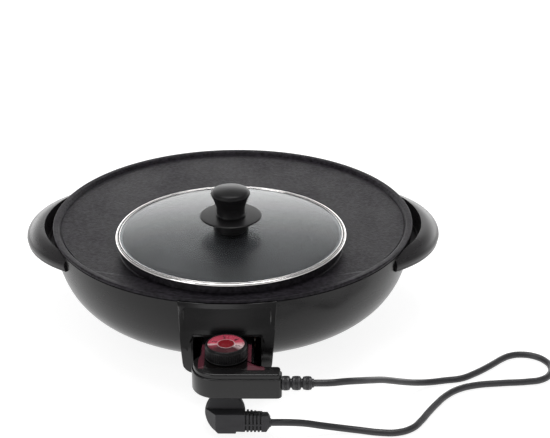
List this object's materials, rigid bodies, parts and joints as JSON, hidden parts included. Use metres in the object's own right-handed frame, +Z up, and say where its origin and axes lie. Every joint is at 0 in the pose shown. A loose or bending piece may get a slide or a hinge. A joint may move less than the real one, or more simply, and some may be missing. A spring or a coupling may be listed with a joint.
{
  "type": "electric hot pot with grill plate",
  "caption": "Round electric grill plate with a sunken pot, lift-off glass lid, ear handles and a plug-in dial thermostat on a mains cord.",
  "frame": {"origin": "on the table, under the middle of the body from the control's front to the plate's back", "axes": "+Z up, -Y towards the control and the cook, +X to the right as the cook faces it"},
  "size_m": [0.574, 0.4847, 0.175],
  "materials": {
    "shell_black": "glossy black moulding",
    "foot_black": "matt black",
    "pad_rubber": "matt",
    "plate_coating": "cast, with a satin black non-stick coating",
    "zinc_steel": "zinc plated",
    "element_sheath": "heat darkened",
    "reflector_metal": "bright sheet",
    "ceramic_white": "glazed insulator",
    "board_brown": "heat resistant board",
    "terminal_steel": "polished",
    "lid_glass": "clear tempered",
    "lid_steel": "polished",
    "knob_black": "satin black",
    "control_black": "glossy black moulding",
    "lens_maroon": "deep red translucent",
    "lamp_glass": "clear",
    "contact_brass": "plain",
    "block_grey": "heat resistant moulding",
    "dial_black": "satin black",
    "label_red": "printed",
    "cord_black": "satin black sheath"
  },
  "bodies": {
    "base": {"base_shell": "shell_black", "handle_left": "shell_black", "handle_right": "shell_black", "handle_screws": "zinc_steel", "foot_front_left": "foot_black", "foot_front_right": "foot_black", "foot_rear_left": "foot_black", "foot_rear_right": "foot_black", "pad_front_left": "pad_rubber", "pad_front_right": "pad_rubber", "pad_rear_left": "pad_rubber", "pad_rear_right": "pad_rubber", "foot_screws": "zinc_steel", "grill_pan": "plate_coating", "pan_screws": "zinc_steel", "heating_element": "element_sheath", "heat_reflector": "reflector_metal", "reflector_clips": "zinc_steel", "terminal_pins": "terminal_steel", "terminal_bushes": "ceramic_white", "terminal_carrier": "board_brown", "carrier_screws": "zinc_steel", "socket_guard": "shell_black", "guard_screws": "zinc_steel"},
    "lid": {"lid_glass": "lid_glass", "lid_rim": "lid_steel", "knob_flange": "knob_black", "knob_grip": "knob_black", "knob_washer": "knob_black", "knob_screw": "zinc_steel"},
    "control": {"control_base": "control_black", "control_cover": "control_black", "pilot_lens": "lens_maroon", "pilot_lamp": "lamp_glass", "probe_tube": "terminal_steel", "contact_sleeves": "contact_brass", "contact_block": "block_grey", "thermostat_switch": "contact_brass", "control_screws": "zinc_steel", "strain_relief": "cord_black", "mains_cord": "cord_black", "plug_body": "cord_black", "plug_pins": "terminal_steel", "plug_earth_strips": "terminal_steel"},
    "dial": {"dial_knob": "dial_black", "dial_label": "label_red", "dial_spindle": "terminal_steel"}
  },
  "joints": [
    {"name": "lid_lift", "type": "slide", "parent": "base", "child": "lid", "axis": [0, 0, 1], "range_m": [0, 0.15]},
    {"name": "control_pull", "type": "slide", "parent": "base", "child": "control", "axis": [0, -1, 0], "range_m": [0, 0.06]},
    {"name": "dial_turn", "type": "hinge", "parent": "control", "child": "dial", "pos_m": [0, -0.1995, 0.077], "axis": [0, 0, -1], "range_deg": [0, 270]}
  ]
}
